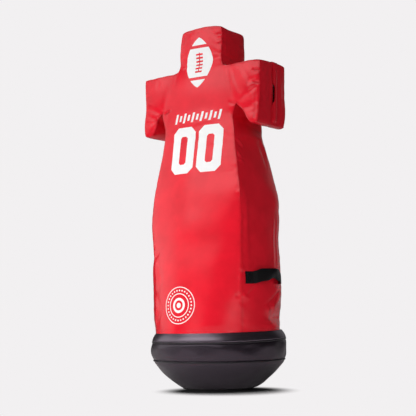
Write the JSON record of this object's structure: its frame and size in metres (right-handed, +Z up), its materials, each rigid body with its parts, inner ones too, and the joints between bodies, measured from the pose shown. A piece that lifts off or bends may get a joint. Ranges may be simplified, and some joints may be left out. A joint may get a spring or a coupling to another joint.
{
  "type": "pop-up tackle dummy",
  "caption": "Free-standing padded tackle dummy with head, arms and webbing side handles, flexing on a weighted base bag with a rounded bottom.",
  "frame": {"origin": "on the floor, at the middle of the flat contact patch under the base", "axes": "+Z up, the printed front faces -Y, +X to the right as seen from the front"},
  "size_m": [0.5983, 0.5706, 1.524],
  "materials": {
    "red_vinyl": "satin",
    "black_vinyl": "satin",
    "black_piping": "satin",
    "base_rubber": "matte",
    "foam": "matte",
    "ballast_iron": "matte",
    "plywood": "matte",
    "zinc_steel": "satin",
    "zip_tape": "matte",
    "zip_metal": "satin",
    "webbing": "satin"
  },
  "bodies": {
    "base": {"wear_disc": "base_rubber", "bowl_cover": "black_vinyl", "side_band_cover": "black_vinyl", "collar_cover": "black_vinyl", "lower_piping": "black_piping", "upper_piping": "black_piping", "foam_bowl": "foam", "ballast_plate_lower": "ballast_iron", "ballast_plate_middle": "ballast_iron", "ballast_plate_upper": "ballast_iron", "base_deck": "plywood", "column_foam_foot": "foam", "ballast_bolt": "zinc_steel", "ballast_nut": "zinc_steel", "ballast_washer_lower": "zinc_steel", "ballast_washer_upper": "zinc_steel", "column_foam_lower": "foam", "skirt_lower": "red_vinyl"},
    "column": {"column_foam_mid": "foam"},
    "torso": {"column_foam_upper": "foam", "skirt_upper": "red_vinyl", "torso_foam": "foam", "shoulder_foam": "foam", "head_foam": "foam", "left_arm_foam": "foam", "right_arm_foam": "foam", "front_panel": "red_vinyl", "back_panel": "red_vinyl", "left_side_panel": "red_vinyl", "right_side_panel": "red_vinyl", "left_arm_gusset": "red_vinyl", "right_arm_front_gusset": "red_vinyl", "right_arm_back_gusset": "red_vinyl", "head_gusset": "red_vinyl", "zip_tape": "zip_tape", "zip_flap": "red_vinyl", "right_handle_front_tab": "webbing", "right_handle_back_tab": "webbing", "left_handle_front_tab": "webbing", "left_handle_back_tab": "webbing"},
    "right_handle": {"right_handle_strap": "webbing"},
    "left_handle": {"left_handle_strap": "webbing"},
    "slider": {"zip_slider": "zip_metal"},
    "pull": {"zip_pull": "zip_metal"}
  },
  "joints": [
    {"name": "lean_front", "type": "hinge", "parent": "base", "child": "column", "pos_m": [0, 0, 0.33], "axis": [1, 0, 0], "range_deg": [-10, 10], "stiffness_Nm_per_rad": 1500, "deforming": ["column_foam_lower", "skirt_lower"]},
    {"name": "lean_side", "type": "hinge", "parent": "column", "child": "torso", "pos_m": [0, 0, 0.33], "axis": [0, 1, 0], "range_deg": [-10, 10], "stiffness_Nm_per_rad": 1500, "deforming": ["column_foam_upper", "skirt_upper"]},
    {"name": "right_handle_swing", "type": "hinge", "parent": "torso", "child": "right_handle", "pos_m": [0.24393, 0, 0.456], "axis": [0, 1, 0], "range_deg": [-25, 25], "stiffness_Nm_per_rad": 0.4},
    {"name": "left_handle_swing", "type": "hinge", "parent": "torso", "child": "left_handle", "pos_m": [-0.24393, 0, 0.456], "axis": [0, 1, 0], "range_deg": [-25, 25], "stiffness_Nm_per_rad": 0.4},
    {"name": "zip_slide", "type": "slide", "parent": "torso", "child": "slider", "axis": [0.0424, 0, 0.9991], "range_m": [0, 0.16]},
    {"name": "zip_pull_swing", "type": "hinge", "parent": "slider", "child": "pull", "pos_m": [0.29018, 0.014, 1.14183], "axis": [0, -1, 0], "range_deg": [-2, 8]}
  ]
}
